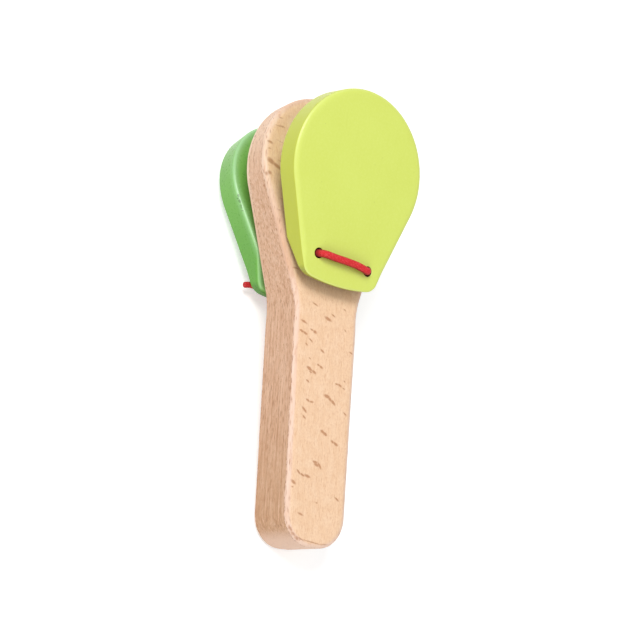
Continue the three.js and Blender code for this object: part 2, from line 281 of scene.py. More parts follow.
def inset_vectors(outline, creases):
    before = np.roll(outline, 1, axis=0)
    after = np.roll(outline, -1, axis=0)
    first = np.c_[outline[:, 1] - before[:, 1], before[:, 0] - outline[:, 0]]
    second = np.c_[after[:, 1] - outline[:, 1], outline[:, 0] - after[:, 0]]
    first /= np.linalg.norm(first, axis=1)[:, None]
    second /= np.linalg.norm(second, axis=1)[:, None]
    middle = (first + second) / (1 + (first * second).sum(1))[:, None]
    result = -middle
    for height in creases:
        on = np.abs(outline[:, 1] - height) < CLOSE
        result[on] = np.c_[-1 / middle[on, 0], np.zeros(on.sum())]
    return result


def hand_sanding(outline, amount, seed):
    """A factor along the outline for the edge radius, since the edges are sanded by hand."""
    step = np.hypot(*(np.roll(outline, -1, axis=0) - outline).T)
    along = np.cumsum(step) / step.sum() * 2 * math.pi
    rng = np.random.default_rng(seed)
    wave = np.zeros(len(outline))
    for k in SANDING_WAVES:
        wave += rng.normal() / math.sqrt(k) * np.cos(k * along + rng.uniform(0, 7))
    return LEAST_SANDING + amount * (1 + wave / np.abs(wave).max())


def eased_plate(
    outline, bottom, top, bottom_ease, top_ease, bottom_crease, top_crease, factor, top_share=1.0
):
    """A plate with quarter ellipses for edges, as wide on a face and deep on a wall as an ease."""
    insets = inset_vectors(outline, [c for c in (bottom_crease, top_crease) if c is not None])
    outline = outline + insets * HAIR
    wall = top(outline[:, 1]) - bottom(outline[:, 1])
    most = MOST_OF_WALL * wall / (bottom_ease[1] + top_ease[1])
    fit = np.minimum(1, most / factor) * factor
    rings = []
    for side, (width, depth), share in ((-1, bottom_ease, 1.0), (1, top_ease, top_share)):
        for i in range(EASE_STEPS + 1):
            angle = math.pi / 2 * i / EASE_STEPS - (math.pi / 2 if side < 0 else 0)
            flat = outline + insets * (fit * share * width * (1 - math.cos(angle)))[:, None]
            face = bottom(flat[:, 1]) if side < 0 else top(flat[:, 1])
            rings.append(np.c_[flat, face + fit * share * depth * (math.sin(angle) - side)])
    count = len(outline)
    faces = []
    for r in range(len(rings) - 1):
        for k in range(count):
            a, b = r * count + k, r * count + (k + 1) % count
            faces.append((a, b, b + count, a + count))
    for first, crease, ring, upwards in (
        (0, bottom_crease, rings[0], False),
        ((len(rings) - 1) * count, top_crease, rings[-1], True),
    ):
        parts = [list(range(count))]
        if crease is not None:
            ends = np.flatnonzero(np.abs(ring[:, 1] - crease) < CLOSE)
            a, b = int(ends[0]), int(ends[1])
            parts = [list(range(a, b + 1)), list(range(b, count)) + list(range(0, a + 1))]
        for part in parts:
            loop = [first + i for i in part]
            faces.append(tuple(loop if upwards else loop[::-1]))
    return np.concatenate(rings), faces


def make_object(name, points, faces):
    mesh = bpy.data.meshes.new(name)
    mesh.from_pydata([tuple(p) for p in points], [], faces)
    mesh.validate()
    obj = bpy.data.objects.new(name, mesh)
    scene.collection.objects.link(obj)
    return obj


def lathe(name, profile, x, y, steps):
    """A cutter turned about the Z axis from radius and height pairs, both ends on the axis."""
    angle = np.linspace(0, 2 * math.pi, steps, endpoint=False)
    rings = [
        np.c_[x + r * np.cos(angle), y + r * np.sin(angle), np.full(steps, h)]
        for r, h in profile[1:-1]
    ]
    points = np.concatenate([[[x, y, profile[0][1]]], *rings, [[x, y, profile[-1][1]]]])
    last = len(points) - 1
    faces = []
    for k in range(steps):
        n = (k + 1) % steps
        faces.append((0, 1 + n, 1 + k))
        faces.append((last, last - steps + k, last - steps + n))
        for r in range(len(rings) - 1):
            a = 1 + r * steps
            faces.append((a + k, a + n, a + steps + n, a + steps + k))
    return make_object(name, points, faces)


def rim_profile(radius, low, high, rim, low_rim):
    """A hole with a softly rounded rim at its top, and at its bottom where low_rim is set."""
    bend = np.linspace(0, math.pi / 2, RIM_STEPS)
    curve = [(radius + rim * (1 - math.sin(a)), rim * (1 - math.cos(a))) for a in bend]
    below, above = low - CUT_BEYOND, high + CUT_BEYOND
    profile = [(0, below)]
    if low_rim:
        profile.append((radius + rim, below))
        profile += [(r, low + depth) for r, depth in curve]
    else:
        profile.append((radius, below))
    profile += [(r, high - depth) for r, depth in curve[::-1]]
    profile += [(radius + rim, above), (0, above)]
    return profile


def cut(obj, cutters):
    for cutter in cutters:
        modifier = obj.modifiers.new("cut", "BOOLEAN")
        modifier.operation = "DIFFERENCE"
        modifier.solver = "EXACT"
        modifier.object = cutter
    evaluated = obj.evaluated_get(bpy.context.evaluated_depsgraph_get())
    mesh = bpy.data.meshes.new_from_object(evaluated)
    obj.modifiers.clear()
    obj.data = mesh
    for cutter in cutters:
        bpy.data.objects.remove(cutter)


def place(obj, matrix, material, body, node):
    """Moves a piece from millimetres into the row frame, keeping its own places for its look."""
    mesh = obj.data
    count = len(mesh.vertices)
    own = np.zeros(count * 3, np.float32)
    mesh.vertices.foreach_get("co", own)
    attribute = mesh.attributes.new("own", "FLOAT_VECTOR", "POINT")
    attribute.data.foreach_set("vector", own)
    mesh.transform(Matrix.Scale(0.001, 4) @ matrix)
    mesh.polygons.foreach_set("use_smooth", [True] * len(mesh.polygons))
    mesh.set_sharp_from_angle(angle=WOOD_CREASE)
    mesh.update()
    weighted = obj.modifiers.new("normals", "WEIGHTED_NORMAL")
    weighted.keep_sharp = True
    mesh.materials.clear()
    mesh.materials.append(material)
    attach(obj, body)
    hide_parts(node)


# Node helpers


class Look:
    """A material, with short calls for its nodes."""

    def __init__(self, name):
        self.material = bpy.data.materials.new(name)
        self.material.use_nodes = True
        self.tree = self.material.node_tree
        self.shader = self.tree.nodes["Principled BSDF"]

    def put(self, node, key, value):
        if isinstance(value, bpy.types.NodeSocket):
            self.tree.links.new(value, node.inputs[key])
        else:
            node.inputs[key].default_value = value

    def add(self, kind, inputs=None, output=0, **settings):
        node = self.tree.nodes.new(kind)
        for key, value in settings.items():
            setattr(node, key, value)
        for key, value in (inputs or {}).items():
            self.put(node, key, value)
        return node.outputs[output]

    def set(self, **inputs):
        for key, value in inputs.items():
            self.put(self.shader, key.replace("_", " "), value)

    def math(self, operation, a, b=0.0, clamp=False):
        return self.add("ShaderNodeMath", {0: a, 1: b}, operation=operation, use_clamp=clamp)

    def times(self, product, *others):
        for other in others:
            product = self.math("MULTIPLY", product, other)
        return product

    def part(self, vector, axis):
        """One coordinate of a place, by its number."""
        return self.add("ShaderNodeSeparateXYZ", {0: vector}, output=axis)

    def distance(self, a, b):
        return self.add("ShaderNodeVectorMath", {0: a, 1: b}, output="Value", operation="DISTANCE")

    def shifted(self, vector, by):
        return self.add("ShaderNodeVectorMath", {0: vector, 1: by}, operation="ADD")

    def scaled(self, vector, scale, turn=0.0):
        return self.add(
            "ShaderNodeMapping", {"Vector": vector, "Scale": scale, "Rotation": (0, 0, turn)}
        )

    def noise(self, vector, scale, detail=3.0, rough=0.5):
        return self.add(
            "ShaderNodeTexNoise",
            {"Vector": vector, "Scale": scale, "Detail": detail, "Roughness": rough},
        )

    def voronoi(self, vector, scale, output):
        return self.add("ShaderNodeTexVoronoi", {"Vector": vector, "Scale": scale}, output=output)

    def chance(self, vector, scale):
        """A random number for each Voronoi cell."""
        return self.add("ShaderNodeSeparateColor", {0: self.voronoi(vector, scale, "Color")})

    def ramp(self, value, low, high, to_low=0.0, to_high=1.0):
        limits = {"From Min": low, "From Max": high, "To Min": to_low, "To Max": to_high}
        return self.add(
            "ShaderNodeMapRange", {"Value": value, **limits}, interpolation_type="SMOOTHSTEP"
        )

    def mix(self, amount, a, b, blend="MIX"):
        return self.add(
            "ShaderNodeMixRGB", {"Fac": amount, "Color1": a, "Color2": b}, blend_type=blend
        )

    def facing(self, axis):
        """How squarely the surface faces along a direction of the rest pose, from -1 to 1."""
        normal = self.add("ShaderNodeTexCoord", output="Normal")
        return self.add(
            "ShaderNodeVectorMath",
            {0: normal, 1: tuple(axis)},
            output="Value",
            operation="DOT_PRODUCT",
        )

    def bump(self, height, strength, distance):
        return self.add(
            "ShaderNodeBump", {"Height": height, "Strength": strength, "Distance": distance}
        )


def toned(color, tone):
    return tuple(c * t for c, t in zip(color, tone))


def direction(matrix, axis):
    """Where an axis of a piece points in the row frame."""
    return (matrix.to_3x3() @ Vector(axis)).normalized()


def own_place(look):
    return look.add("ShaderNodeAttribute", output="Vector", attribute_name="own")


# Rays in the beech's front face: place, length, width, slope in degrees and depth of colour
FLECKS = [
    (-5.4, 79.6, 2.7, 0.31, -22, 0.5), (2.6, 77.3, 1.7, 0.34, -26, 0.6),
    (0.3, 75.6, 2.8, 0.57, -18, 0.8), (7.6, 80.4, 1.3, 0.31, -24, 0.4),
    (-10.0, 72.6, 2.6, 0.38, -16, 0.7), (-10.7, 69.3, 1.7, 0.38, -17, 0.9),
    (-9.1, 68.8, 1.7, 0.46, -18, 0.8), (-6.5, 70.5, 1.4, 0.34, -16, 0.6),
    (-5.1, 70.0, 1.6, 0.50, -21, 0.7), (-6.6, 66.9, 1.8, 0.34, -34, 0.6),
    (-8.3, 65.2, 1.3, 0.31, -40, 0.5), (-1.5, 64.2, 1.8, 0.38, -29, 0.7),
    (-6.6, 60.8, 1.1, 0.31, -30, 0.4), (-2.8, 59.2, 1.3, 0.34, -23, 0.6),
    (-1.6, 58.7, 1.5, 0.42, -22, 0.7), (-6.5, 57.3, 2.3, 0.50, -26, 1.0),
    (-5.9, 56.3, 1.2, 0.31, -16, 0.6), (-4.5, 56.5, 1.9, 0.46, -25, 0.8),
    (-6.9, 53.1, 1.7, 0.34, -28, 0.6), (5.4, 54.2, 1.4, 0.34, -6, 0.6),
    (6.8, 54.0, 1.7, 0.46, -20, 0.7), (8.8, 55.7, 1.0, 0.27, -39, 0.5),
    (8.6, 53.2, 1.1, 0.31, -19, 0.5), (1.6, 49.4, 2.4, 0.57, -13, 0.9),
    (2.9, 48.6, 2.0, 0.46, -37, 0.8), (4.3, 47.8, 2.2, 0.50, -39, 0.9),
    (-6.4, 46.8, 1.7, 0.38, -23, 0.8), (-4.8, 46.5, 1.7, 0.31, 3, 0.6),
    (-7.6, 43.5, 2.6, 0.42, -40, 0.8), (-7.5, 41.1, 1.7, 0.34, -37, 0.7),
    (9.7, 44.8, 1.9, 0.34, -35, 0.5), (11.1, 65.9, 1.9, 0.34, -17, 0.5),
    (8.0, 73.1, 1.2, 0.31, -41, 0.4), (0.4, 37.5, 1.5, 0.46, -24, 0.9),
    (1.6, 36.9, 1.8, 0.50, -25, 0.9), (4.9, 34.8, 1.4, 0.42, -31, 0.8),
    (6.4, 34.2, 1.9, 0.46, -26, 0.9), (-1.9, 27.2, 1.9, 0.46, -8, 0.8),
    (-1.3, 26.4, 1.8, 0.50, -22, 0.9), (0.0, 26.3, 2.5, 0.42, -52, 0.7),
    (-8.4, 23.2, 1.8, 0.34, -42, 0.9), (-6.8, 22.4, 1.8, 0.38, -16, 0.8),
    (-4.8, 22.3, 2.4, 0.46, -12, 0.8), (-10.3, 19.8, 2.2, 0.46, -32, 0.8),
    (-10.5, 18.2, 0.9, 0.31, -10, 0.5), (8.0, 16.4, 2.3, 0.34, -31, 0.6),
    (-0.3, 14.3, 1.0, 0.31, -15, 0.3), (-6.6, 10.0, 2.4, 0.38, -15, 0.5),
]

# Rays and torn spots on the edges and on the paddle's front: place, length, width, slope and depth
EDGE_MARKS = [
    (-1.6, 1.75, 8.6, 9.0, 0.22, -7, 0.8), (3.4, 1.45, 8.6, 4.5, 0.20, 4, 0.6),
    (-5.8, 2.3, 8.6, 3.0, 0.24, -20, 0.8), (-11.4, 10.6, 8.2, 2.6, 0.30, -72, 0.6),
    (-10.6, 7.9, 8.2, 2.4, 0.32, -66, 0.6), (-10.0, 5.2, 8.2, 2.2, 0.42, -52, 0.9),
    (-8.7, 3.7, 8.2, 2.0, 0.46, -38, 0.9), (-7.2, 2.5, 8.3, 1.8, 0.50, -44, 0.9),
    (-13.9, 77.5, 8.3, 2.2, 0.26, -80, 0.7), (-13.6, 75.0, 8.3, 2.0, 0.26, -82, 0.7),
    (-12.6, 46.2, 8.3, 2.4, 0.26, -84, 0.6), (-12.5, 38.6, 8.3, 2.2, 0.26, -84, 0.5),
    (-26.3, 132.6, 5.2, 2.2, 0.50, -14, 0.9), (-25.6, 125.6, 5.6, 3.0, 0.95, -26, 1.0),
    (-23.2, 124.6, 5.7, 4.6, 0.70, -22, 0.9), (-27.2, 120.9, 5.5, 1.8, 0.66, -30, 0.8),
    (-26.0, 121.4, 5.8, 1.8, 0.66, -40, 0.8), (-28.2, 119.4, 4.9, 2.8, 0.90, -70, 0.5),
    (-23.2, 139.6, 4.8, 2.8, 0.26, -6, 0.5), (-22.0, 134.0, 5.1, 3.2, 0.26, -8, 0.4),
]


# A lens fades towards its rim, so its radii are these shares of a mark's length and width
LENS_LONG = 0.82
LENS_WIDE = 1.5
FAINTEST_RAY = 0.35


def marks_in(look, vector, marks, depth_mm):
    """The strongest of many lens shapes, each set by its place, length, width, slope and depth."""
    strongest = None
    for x, y, z, length, width, slope, depth in marks:
        lens = look.add(
            "ShaderNodeMapping",
            {
                "Vector": vector,
                "Location": (x, y, z),
                "Rotation": (0, 0, math.radians(slope)),
                "Scale": (length * LENS_LONG, width * LENS_WIDE, depth_mm),
            },
            vector_type="TEXTURE",
        )
        value = look.add(
            "ShaderNodeTexGradient", {"Vector": lens}, output=1, gradient_type="SPHERICAL"
        )
        value = look.times(value, depth)
        strongest = value if strongest is None else look.math("MAXIMUM", strongest, value)
    return strongest


def wavered(look, vector, scale, amount):
    """The place, shifted about by a small noise, so that marks have ragged outlines."""
    noise = look.add(
        "ShaderNodeTexNoise", {"Vector": vector, "Scale": scale, "Detail": 3.0}, output="Color"
    )
    centred = look.shifted(noise, (-0.5, -0.5, -0.5))
    shift = look.add("ShaderNodeVectorMath", {0: centred, "Scale": amount}, operation="SCALE")
    return look.shifted(vector, shift)


# Colours of the beech's faces
FACE_DARK = (0.875, 0.585, 0.372, 1)
FACE_PALE = (0.935, 0.655, 0.440, 1)
FACE_BAND = (0.890, 0.595, 0.370, 1)
FACE_CLOUD = (0.960, 0.700, 0.490, 1)
FACE_TICK = (0.750, 0.440, 0.245, 1)
FACE_SPECKLE = (0.790, 0.500, 0.315, 1)
FACE_RAY = (0.500, 0.235, 0.115, 1)

# Colours of its sides and of the grip's end; a tone multiplies a colour
SIDE_DARK = (0.640, 0.375, 0.232, 1)
SIDE_PALE = (0.770, 0.485, 0.320, 1)
SIDE_CLOUD = (0.820, 0.555, 0.395, 1)
SIDE_GRIP_TONE = (0.860, 0.820, 0.720, 1)
# Painted light for the paddle's side near the tip
SIDE_PAINTED_LIGHT = (0.930, 0.680, 0.500, 1)
SIDE_DARK_TICK = (0.470, 0.235, 0.125, 1)
SIDE_PALE_TICK = (0.930, 0.710, 0.570, 1)
SIDE_DASH = (0.370, 0.165, 0.082, 1)
SIDE_PALE_FIBRE = (0.860, 0.595, 0.425, 1)
SIDE_DARK_FIBRE = (0.480, 0.225, 0.105, 1)
END_PALE = (0.860, 0.600, 0.455, 1)
END_TICK = (0.730, 0.470, 0.330, 1)

# Colours of its edges, paler as a painted highlight, and of the seam and the scars in them
EDGE_HIGHLIGHT_DARK = (0.842, 0.589, 0.451, 1)
EDGE_HIGHLIGHT_PALE = (0.892, 0.681, 0.570, 1)
EDGE_HIGHLIGHT_NECK_TONE = (0.92, 0.80, 0.70, 1)
EDGE_HIGHLIGHT_PADDLE_TONE = (1.06, 1.08, 1.03, 1)
EDGE_HIGHLIGHT_TIP_TONE = (0.95, 0.88, 0.82, 1)
EDGE_TORN = (0.700, 0.400, 0.250, 1)
EDGE_DASH = (0.480, 0.235, 0.130, 1)
EDGE_SEAM = (0.440, 0.205, 0.110, 1)
EDGE_SCAR = (0.430, 0.190, 0.092, 1)

# The painted highlight band's foot on the wall, its raggedness and its seam, in millimetres below
# the face
BAND_FOOT = (1.05, 1.45)
BAND_TEAR = 1.8
SEAM_BELOW = 1.2


def beech():
    look = Look("beech")
    spot = own_place(look)
    ragged = wavered(look, spot, 1.9, 0.42)
    loose = wavered(look, look.scaled(spot, (1, 0.6, 1)), 0.45, 1.1)
    facing = look.facing(direction(TOY, (0, 0, 1)))
    flatness = look.math("ABSOLUTE", facing)
    endwise = look.math("ABSOLUTE", look.facing(direction(TOY, (0, 1, 0))))
    along = look.part(spot, 1)
    height = look.math("ABSOLUTE", look.part(spot, 2))
    face_only = look.ramp(flatness, 0.80, 0.95)

    # Painted highlight band on the edges: from a ragged line on the wall, lower on the paddle, up
    # to a soft line on the face
    past_taper = look.math("MAXIMUM", look.math("SUBTRACT", along, TAPER_AT), 0.0)
    face_height = look.math("SUBTRACT", GRIP_THICK / 2, look.times(past_taper, math.tan(SLOPE)))
    below = look.math("SUBTRACT", face_height, height)
    below = look.math("SUBTRACT", below, look.ramp(along, 80, 96, 0, 1.0))
    tear = look.noise(look.scaled(spot, (1.1, 0.17, 1.1)), 0.9, 5, 0.66)
    tear = look.math("SUBTRACT", tear, 0.5)
    ragged_below = look.math("ADD", below, look.times(tear, BAND_TEAR))
    on_side = look.times(look.ramp(ragged_below, *BAND_FOOT), look.ramp(flatness, 0.85, 0.55))
    highlight_rag = look.times(tear, look.ramp(flatness, 1.0, 0.90, 0.0, 0.20))
    ragged_highlight = look.math("ADD", flatness, highlight_rag)
    on_face = look.times(look.ramp(ragged_highlight, 0.935, 0.996), look.ramp(flatness, 0.80, 0.90))
    on_edge = look.math("SUBTRACT", look.math("SUBTRACT", 1.0, on_side), on_face, clamp=True)
    on_end = look.times(look.ramp(endwise, 0.45, 0.85), on_side)

    # Grain: faint streaks along the handle, broad bands, blotches, and fine short ticks
    streaks = look.noise(look.scaled(loose, (1, 0.07, 1)), 1.2, 5, 0.62)
    bands = look.noise(look.scaled(spot, (0.22, 0.012, 0.22)), 1.0, 2, 0.5)
    cloud = look.noise(look.scaled(spot, (0.5, 0.4, 0.5)), 0.7, 4, 0.62)
    ticks = look.noise(look.scaled(ragged, (1.0, 0.22, 1.0)), 2.4, 3, 0.6)
    speckle = look.noise(look.scaled(spot, (1.0, 0.7, 1.0)), 1.7, 2, 0.6)
    base = look.mix(look.ramp(streaks, 0.32, 0.68), FACE_DARK, FACE_PALE)
    base = look.mix(look.ramp(bands, 0.35, 0.65, 0, 0.30), base, FACE_BAND)
    base = look.mix(look.ramp(cloud, 0.42, 0.68, 0, 0.60), base, FACE_CLOUD)
    base = look.mix(look.ramp(ticks, 0.53, 0.66, 0, 0.62), base, FACE_TICK)
    base = look.mix(look.ramp(speckle, 0.40, 0.66, 0, 0.40), base, FACE_SPECKLE)
    # Painted shade makes the paddle's faces darker where the clappers lie over them, and painted
    # light brightens them again towards the tip
    paddle_shade = look.ramp(along, 92, 104, 1.0, 0.95)
    tone = look.math("ADD", paddle_shade, look.ramp(along, 108, 132, 0, 0.08))
    shade_and_light_grey = look.add("ShaderNodeCombineColor", {0: tone, 1: tone, 2: tone})
    base = look.mix(1.0, base, shade_and_light_grey, "MULTIPLY")

    # Rays that were cut lengthways show as slender lens shapes on the front face
    front_marks = [
        (x, y, float(paddle_face(y)), *shape, FAINTEST_RAY + (1 - FAINTEST_RAY) * depth)
        for x, y, *shape, depth in FLECKS
    ]
    grown = look.ramp(marks_in(look, ragged, front_marks, depth_mm=1.6), 0.04, 0.60)
    grown = look.times(grown, face_only)

    # The same rays, scattered over the paddle and the back
    turned = look.scaled(ragged, (0.30, 1.10, 0.05), math.radians(24))
    cells = look.ramp(look.voronoi(turned, 0.66, "Distance"), 0.40, 0.04)
    some = look.ramp(look.chance(turned, 0.66), 0.50, 0.62)
    elsewhere = look.math("MAXIMUM", look.ramp(along, 84, 90), look.ramp(facing, -0.6, -0.8))
    scattered = look.times(cells, some, elsewhere, face_only)
    rays = look.math("MAXIMUM", grown, look.times(scattered, 0.8))
    base = look.mix(look.times(rays, 0.86), base, FACE_RAY)

    # On the sides the rays are cut across, and show as fine dashes along the grain
    side = look.mix(look.ramp(streaks, 0.30, 0.70), SIDE_DARK, SIDE_PALE)
    side = look.mix(look.ramp(cloud, 0.42, 0.70, 0, 0.50), side, SIDE_CLOUD)
    side = look.mix(look.ramp(along, 60, 4), side, SIDE_GRIP_TONE, "MULTIPLY")
    # Painted light: the paddle's side is paler towards the tip, where it turns up to the light
    side = look.mix(look.ramp(along, 118, 140, 0, 0.75), side, SIDE_PAINTED_LIGHT)
    dark_ticks = look.times(look.ramp(ticks, 0.52, 0.66), look.ramp(along, 78, 95, 0.68, 0.42))
    side = look.mix(dark_ticks, side, SIDE_DARK_TICK)
    pale_ticks = look.times(look.ramp(ticks, 0.46, 0.36), look.ramp(along, 78, 95, 0.10, 0.42))
    side = look.mix(pale_ticks, side, SIDE_PALE_TICK)
    fine = look.scaled(wavered(look, spot, 0.8, 0.2), (1.35, 0.21, 1.35))
    dashes = look.ramp(look.voronoi(fine, 1.0, "Distance"), 0.36, 0.10)
    dashes = look.times(dashes, look.ramp(look.chance(fine, 1.0), 0.35, 0.70))
    side = look.mix(look.times(dashes, 0.80), side, SIDE_DASH)
    fibres = look.noise(look.scaled(spot, (1.7, 0.03, 1.7)), 1.0, 3, 0.6)
    side = look.mix(look.ramp(fibres, 0.46, 0.34, 0, 0.40), side, SIDE_PALE_FIBRE)
    lines = look.times(look.ramp(fibres, 0.54, 0.66), look.ramp(along, 66, 36, 0.30, 0.70))
    side = look.mix(lines, side, SIDE_DARK_FIBRE)
    end = look.mix(look.ramp(ticks, 0.45, 0.75, 0, 0.5), END_PALE, END_TICK)
    side = look.mix(look.times(on_end, 0.85), side, end)
    base = look.mix(on_side, base, side)

    # A painted highlight makes the edges paler, most of all on the paddle; they have short dark
    # ticks and torn pits
    torn = look.noise(look.scaled(loose, (1, 0.30, 1)), 1.1, 4, 0.65)
    torn = look.ramp(torn, 0.53, 0.66)
    edge = look.mix(look.ramp(streaks, 0.35, 0.65, 0, 0.6), EDGE_HIGHLIGHT_DARK, EDGE_HIGHLIGHT_PALE)
    highlight_tint = look.mix(look.ramp(along, 100, 126), EDGE_HIGHLIGHT_NECK_TONE, EDGE_HIGHLIGHT_PADDLE_TONE)
    highlight_tint = look.mix(look.ramp(along, 140, 150), highlight_tint, EDGE_HIGHLIGHT_TIP_TONE)
    edge = look.mix(look.ramp(along, 82, 92), edge, highlight_tint, "MULTIPLY")
    edge = look.mix(look.times(torn, 0.60), edge, EDGE_TORN)
    edge = look.mix(look.times(dashes, 0.75), edge, EDGE_DASH)
    base = look.mix(look.times(on_edge, 0.92), base, edge)

    # A broken dark seam runs where the painted highlight band meets the wall
    off_seam = look.math("ABSOLUTE", look.math("SUBTRACT", ragged_below, SEAM_BELOW))
    seam = look.times(
        look.ramp(off_seam, 0.34, 0.06),
        look.ramp(ticks, 0.46, 0.56),
        look.ramp(flatness, 0.75, 0.45),
    )
    base = look.mix(look.times(seam, 0.80), base, EDGE_SEAM)
    scars = look.ramp(marks_in(look, ragged, EDGE_MARKS, depth_mm=1.1), 0.02, 0.70)
    base = look.mix(look.times(scars, 0.75), base, EDGE_SCAR)

    # Rays, scars, pits and dashes are sunk a little
    hollows = look.math("ADD", look.math("ADD", rays, scars), look.times(torn, on_edge))
    sunk = look.times(look.math("ADD", hollows, dashes), 0.45)
    look.set(
        Base_Color=base,
        Roughness=look.ramp(on_edge, 0.0, 1.0, 0.56, 0.46),
        Normal=look.bump(look.math("SUBTRACT", streaks, sunk), 0.3, 0.00025),
        Specular_IOR_Level=0.35,
    )
    return look.material


# Tones that multiply a paint's deep tone, for its painted shade and for its chips, and the bare
# wood in its cord holes, darkened with painted shade
LOW_WALL_SHADE_TONE = (0.58, 0.80, 0.45, 1)
HEEL_SHADE_TONE = (0.25, 0.25, 0.40, 1)
INSIDE_SHADE_TONE = (0.70, 0.86, 0.75, 1)
UNDERSIDE_SHADE_TONE = (0.42, 0.30, 0.60, 1)
CHIP_TONE = (0.25, 0.25, 0.25, 1)
BARE_HOLE_SHADE = (0.09, 0.06, 0.025, 1)


def paint(name, axis, base_color, pale_and_highlight, deep_and_shade, seed, roughness, skew, rim, nicks):
    """Satin paint: deep is its deeper tone and its painted shade, pale its paler tone and its
    painted highlight, and rim sets the painted highlight on the inner rim and more painted shade on
    the walls.
    """
    look = Look(name)
    spot = own_place(look)
    moved = look.shifted(spot, (seed, seed * 0.7, seed * 0.3))
    facing = look.facing(axis)
    flatness = look.math("ABSOLUTE", facing)
    across = look.math("ABSOLUTE", look.part(spot, 0))
    along = look.part(spot, 1)
    height = look.part(spot, 2)
    on_side = look.ramp(flatness, 0.6, 0.3)
    on_edge = look.times(look.ramp(flatness, 0.35, 0.65), look.ramp(flatness, 1.0, 0.84))

    # Faint clouds, a fine orange peel, and the grain of the wood under the paint
    cloud = look.noise(moved, 0.07, 2, 0.5)
    peel = look.noise(moved, 1.1, 3, 0.55)
    grain = look.noise(look.scaled(moved, (1, 0.06, 1)), 1.3, 4, 0.6)
    base = look.mix(look.ramp(cloud, 0.3, 0.75, 0, 0.08), base_color, deep_and_shade)
    base = look.mix(look.ramp(peel, 0.42, 0.72, 0, 0.16), base, pale_and_highlight)
    base = look.mix(look.ramp(grain, 0.5, 0.78, 0, 0.07), base, deep_and_shade)

    # Painted shade makes the walls deeper, more so towards the heel, and a painted highlight makes
    # the edges paler, more so towards the top
    wall = look.times(on_side, look.ramp(along, 52, 8, 0.78, 0.88 + rim / 4))
    base = look.mix(wall, base, deep_and_shade)
    base = look.mix(look.times(on_edge, look.ramp(along, 8, 55, 0.32, 0.45)), base, pale_and_highlight)
    # Painted shade: the lower wall is darker still towards the heel, by the rim's amount
    low_wall_shade = look.times(on_side, look.ramp(along, 36, 10, 0, rim * 1.3))
    base = look.mix(low_wall_shade, base, toned(deep_and_shade, LOW_WALL_SHADE_TONE))

    # Painted highlight: a pale line along the heel's edge, over its wall darkened with painted
    # shade
    near_heel = look.ramp(along, 4.5, 2.5)
    heel_highlight = look.times(look.ramp(flatness, 0.72, 0.84), look.ramp(flatness, 0.998, 0.95), near_heel)
    base = look.mix(look.times(heel_highlight, 0.55), base, pale_and_highlight)
    heel_wall_shade = look.times(near_heel, look.ramp(flatness, 0.45, 0.20))
    base = look.mix(look.times(heel_wall_shade, 0.40), base, toned(deep_and_shade, HEEL_SHADE_TONE))

    # How far out a place is: from the disc's middle, or square to the flank where that is nearest
    up = look.math("SUBTRACT", along, HEEL_TO_CENTRE)
    from_middle = look.distance(spot, (0, HEEL_TO_CENTRE, 0))
    from_side = look.math(
        "ADD", look.times(across, math.cos(FLANK)), look.times(up, math.sin(FLANK))
    )
    above_flank = look.math("SUBTRACT", up, look.times(across, math.tan(FLANK)))
    by_flank = look.math("LESS_THAN", above_flank, 0.0)
    reach = look.times(look.math("SUBTRACT", from_side, from_middle), by_flank)
    reach = look.math("ADD", from_middle, reach)

    # Painted shade: the inner face is deeper, most of all far in from the outline, and so is its
    # bevel; where rim is 0, surfaces that turn slightly inwards near the heel are darker too
    inside = look.times(look.ramp(facing, -0.70, -1.0), look.ramp(reach, 27.0, 21.0, 0.55, 1.0))
    bevel_shade = look.times(look.ramp(along, 14.0, 12.0), look.ramp(facing, -0.60, -0.85))
    inside = look.math("MAXIMUM", inside, bevel_shade)
    base = look.mix(look.times(inside, 0.85), base, toned(deep_and_shade, INSIDE_SHADE_TONE))
    if not rim:
        underside_shade = look.times(look.ramp(facing, -0.02, -0.40), look.ramp(along, 36, 24))
        base = look.mix(look.times(underside_shade, 0.70), base, toned(deep_and_shade, UNDERSIDE_SHADE_TONE))

    # Painted highlight: the inner rim is paler, on the inner face near the outline and low on the
    # wall
    glow = look.times(look.ramp(facing, -0.5, -0.9), look.ramp(reach, 24.4, 27.2, 0, rim * 1.3))
    base = look.mix(glow, base, pale_and_highlight)
    ragged_highlight = look.times(
        look.ramp(height, 2.8, 0.6),
        look.ramp(flatness, 0.95, 0.60),
        look.ramp(peel, 0.3, 0.7, rim * 0.5, rim),
    )
    base = look.mix(ragged_highlight, base, pale_and_highlight)

    # Dust caught in the paint, small knocks along the edge, and chips
    dust = look.ramp(look.voronoi(moved, 0.33, "Distance"), 0.085, 0.035)
    dust = look.times(dust, look.ramp(look.chance(moved, 0.33), 0.6, 0.7))
    knocks = look.times(look.ramp(look.noise(moved, 0.8, 4, 0.6), 0.71, 0.76), on_edge)
    marks = look.math("MAXIMUM", look.times(dust, 0.15), look.times(knocks, 0.5))
    dark = toned(deep_and_shade, CHIP_TONE)
    base = look.mix(marks, base, dark)
    if nicks:
        chips = marks_in(look, wavered(look, spot, 1.3, 0.6), nicks, depth_mm=1.0)
        base = look.mix(look.times(look.ramp(chips, 0.05, 0.5), 0.60), base, dark)

